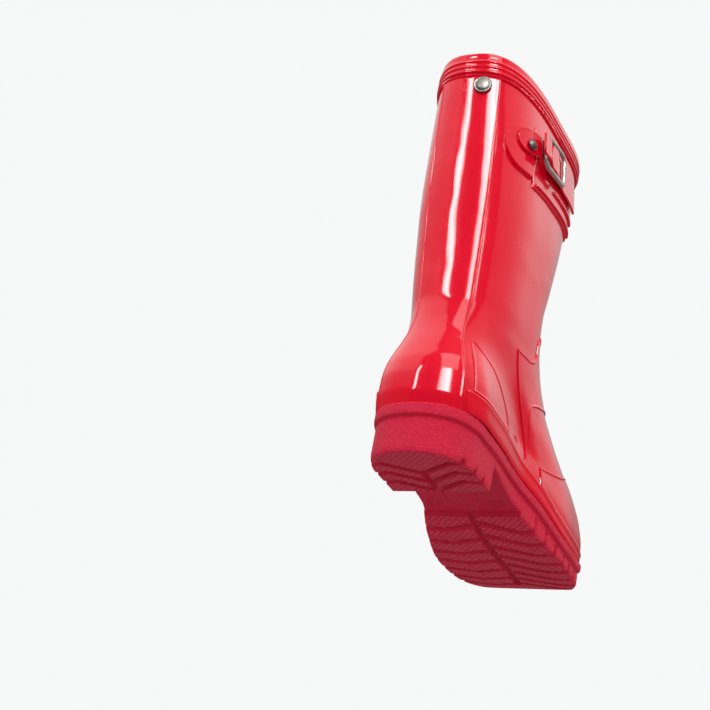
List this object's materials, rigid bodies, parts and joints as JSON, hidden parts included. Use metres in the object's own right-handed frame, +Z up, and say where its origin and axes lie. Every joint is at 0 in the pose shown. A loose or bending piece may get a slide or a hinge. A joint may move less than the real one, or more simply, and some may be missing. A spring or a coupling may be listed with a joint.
{
  "type": "rubber rain boot",
  "caption": "Mid-calf moulded rubber rain boot, right foot, with lugged heeled sole, back stay, collar band and side strap with a metal frame buckle.",
  "frame": {"origin": "on the ground under the plain pad at the back of the heel block, 18 mm in front of the rearmost point", "axes": "+Z up along the leg; toe towards -Y; outer (buckle) side towards -X"},
  "size_m": [0.0928, 0.2674, 0.3052],
  "materials": {
    "gloss_rubber": "gloss",
    "sole_rubber": "matt, fine sand texture",
    "knit_lining": "knitted",
    "fibre_board": "pressed fibre board",
    "foam_footbed": "cloth covered foam",
    "pewter_metal": "antique silver, satin"
  },
  "bodies": {
    "boot": {"outsole": "sole_rubber", "upper_shell": "gloss_rubber", "rand": "gloss_rubber", "toe_cap": "gloss_rubber", "heel_counter_outer": "gloss_rubber", "heel_counter_inner": "gloss_rubber", "back_stay": "gloss_rubber", "ankle_saddle": "gloss_rubber", "collar_band": "gloss_rubber", "strap_tab": "gloss_rubber", "gusset_panel": "gloss_rubber", "strap_rear": "gloss_rubber", "strap_front": "gloss_rubber", "lining": "knit_lining", "insole_board": "fibre_board", "footbed": "foam_footbed", "strap_rivet_cap": "pewter_metal", "strap_rivet_post": "pewter_metal", "badge_stud_cap": "pewter_metal", "badge_stud_post": "pewter_metal"},
    "buckle": {"buckle_frame": "pewter_metal"}
  },
  "joints": [
    {"name": "buckle_hinge", "type": "hinge", "parent": "boot", "child": "buckle", "pos_m": [-0.03865, -0.03792, 0.245], "axis": [-0.0808, -0.0869, -0.9929], "range_deg": [0, 40]}
  ]
}
